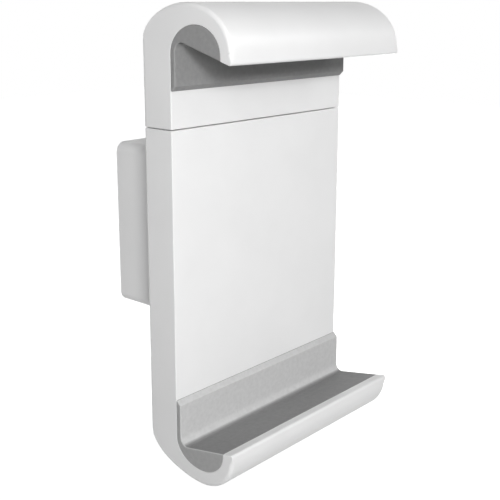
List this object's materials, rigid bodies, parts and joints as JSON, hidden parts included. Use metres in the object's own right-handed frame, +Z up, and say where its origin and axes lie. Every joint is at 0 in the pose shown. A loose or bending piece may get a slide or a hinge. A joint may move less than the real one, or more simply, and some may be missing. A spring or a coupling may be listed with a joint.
{
  "type": "tablet wall mount",
  "caption": "Spring-loaded wall clamp for a tablet: two J-shaped white shells with grey rubber pads, turning on a square wall block.",
  "frame": {"origin": "centre of the wall block's back face, on the wall plane", "axes": "+X to the right along the wall as seen from the room, +Y into the wall, +Z up"},
  "size_m": [0.085, 0.0667, 0.151],
  "materials": {
    "white_plastic": "satin",
    "grey_rubber": "matte",
    "guide_plastic": "smooth",
    "zinc_steel": "zinc plated",
    "black_steel": "oxide black",
    "friction_lining": "matte"
  },
  "bodies": {
    "wall_base": {"wall_plate": "zinc_steel", "block_housing": "white_plastic", "lock_screw": "zinc_steel", "outer_friction_ring": "friction_lining", "inner_friction_ring": "friction_lining", "disc_spring": "zinc_steel"},
    "holder": {"swivel_hub": "zinc_steel", "retaining_washer": "zinc_steel", "hub_bolt": "black_steel", "hub_screws": "zinc_steel", "lower_shell": "white_plastic", "lower_back_cover": "white_plastic", "lower_cover_screws": "zinc_steel", "lower_pad": "grey_rubber", "guide_rail_left": "guide_plastic", "guide_rail_right": "guide_plastic", "spring_anchor_bar": "zinc_steel", "return_spring_left": "zinc_steel", "return_spring_right": "zinc_steel"},
    "jaw": {"upper_shell": "white_plastic", "upper_back_cover": "white_plastic", "upper_cover_screws": "zinc_steel", "upper_pad": "grey_rubber", "slide_tongue": "guide_plastic", "tongue_screws": "zinc_steel", "spring_pins": "zinc_steel"}
  },
  "joints": [
    {"name": "holder_swivel", "type": "hinge", "parent": "wall_base", "child": "holder", "pos_m": [0, -0.026, 0], "axis": [0, -1, 0], "continuous": true},
    {"name": "jaw_slide", "type": "slide", "parent": "holder", "child": "jaw", "axis": [0, 0, 1], "range_m": [0, 0.065], "stiffness_N_per_m": 400, "springref_m": -0.02, "deforming": ["return_spring_left", "return_spring_right"]}
  ]
}
